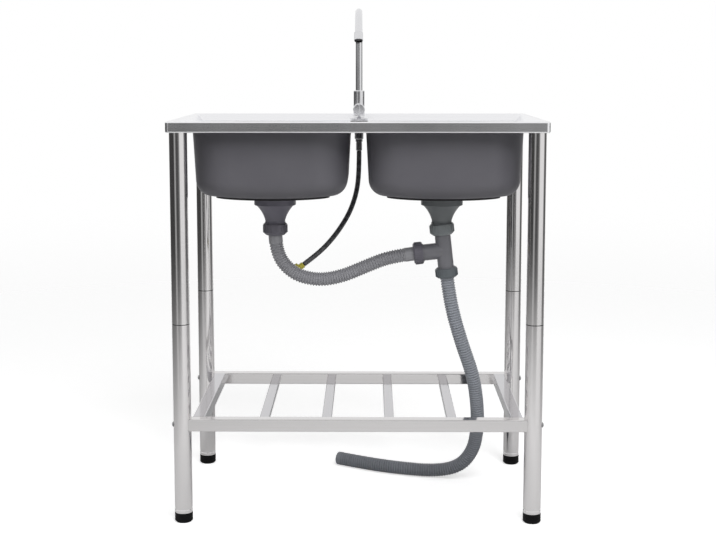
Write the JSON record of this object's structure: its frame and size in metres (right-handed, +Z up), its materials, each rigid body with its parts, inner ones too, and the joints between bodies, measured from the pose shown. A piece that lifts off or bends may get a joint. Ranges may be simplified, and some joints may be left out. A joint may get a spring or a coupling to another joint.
{
  "type": "camping sink",
  "caption": "Free-standing double-bowl camping sink in stainless steel on straight legs, with a swivelling gooseneck tap, lift-out strainers, waste hoses and a slatted shelf.",
  "frame": {"origin": "on the floor, under the middle of the deck", "axes": "+Z up, +Y towards the back where the tap stands, +X to the right seen from the front"},
  "size_m": [0.76, 0.44, 1.0528],
  "materials": {
    "steel_brushed": "satin stainless steel",
    "steel_polished": "polished stainless tube",
    "bowl_steel": "satin stainless inside, dark grey sound-deadening coat outside",
    "pad_rubber": "matte",
    "rubber_black": "matte",
    "plastic_black": "matte",
    "plastic_grey": "satin moulded",
    "plastic_yellow": "satin moulded",
    "hose_grey": "satin",
    "hose_slate": "satin",
    "hose_dark": "satin",
    "fastener_steel": "bright",
    "chrome": "polished",
    "brass": "machined"
  },
  "bodies": {
    "sink": {"front_left_foot": "rubber_black", "front_left_lower_leg": "steel_polished", "front_left_upper_leg": "steel_polished", "front_right_foot": "rubber_black", "front_right_lower_leg": "steel_polished", "front_right_upper_leg": "steel_polished", "left_bowl": "bowl_steel", "left_funnel": "plastic_grey", "left_sound_pad": "pad_rubber", "left_strainer_flange": "steel_brushed", "left_waste_gasket": "rubber_black", "leg_couplers": "plastic_black", "leg_sockets": "steel_brushed", "link_hose": "hose_grey", "rail_plugs": "plastic_black", "rear_left_foot": "rubber_black", "rear_left_lower_leg": "steel_polished", "rear_left_upper_leg": "steel_polished", "rear_right_foot": "rubber_black", "rear_right_lower_leg": "steel_polished", "rear_right_upper_leg": "steel_polished", "right_bowl": "bowl_steel", "right_funnel": "plastic_grey", "right_sound_pad": "pad_rubber", "right_strainer_flange": "steel_brushed", "right_waste_gasket": "rubber_black", "shelf_bolts": "fastener_steel", "shelf_front_rail": "steel_polished", "shelf_left_rail": "steel_polished", "shelf_rear_rail": "steel_polished", "shelf_right_rail": "steel_polished", "shelf_slat_1": "steel_polished", "shelf_slat_2": "steel_polished", "shelf_slat_3": "steel_polished", "shelf_slat_4": "steel_polished", "sink_deck": "steel_brushed", "socket_screws": "fastener_steel", "supply_ferrule": "plastic_yellow", "supply_hose": "hose_dark", "supply_nut": "plastic_yellow", "supply_tail": "fastener_steel", "tap_body": "chrome", "tap_gasket": "rubber_black", "tap_lock_nut": "brass", "tap_washer": "fastener_steel", "tee_nuts": "plastic_grey", "valve_cartridge": "brass", "waste_hose": "hose_slate", "waste_nuts": "plastic_grey", "waste_screws": "fastener_steel", "waste_tee": "plastic_grey"},
    "spout": {"spout": "chrome", "spout_seals": "rubber_black", "aerator": "chrome"},
    "knob": {"tap_knob": "chrome", "valve_spindle": "brass"},
    "left_plug": {"left_strainer_plug": "steel_brushed", "left_plug_seal": "rubber_black"},
    "right_plug": {"right_strainer_plug": "steel_brushed", "right_plug_seal": "rubber_black"}
  },
  "joints": [
    {"name": "spout_swivel", "type": "hinge", "parent": "sink", "child": "spout", "pos_m": [0, 0.152, 0.9], "axis": [0, 0, 1], "continuous": true},
    {"name": "knob_turn", "type": "hinge", "parent": "sink", "child": "knob", "pos_m": [0, 0.152, 0.833], "axis": [0, -1, 0], "range_deg": [0, 90]},
    {"name": "left_plug_lift", "type": "slide", "parent": "sink", "child": "left_plug", "axis": [0, 0, 1], "range_m": [0, 0.2]},
    {"name": "right_plug_lift", "type": "slide", "parent": "sink", "child": "right_plug", "axis": [0, 0, 1], "range_m": [0, 0.2]}
  ]
}
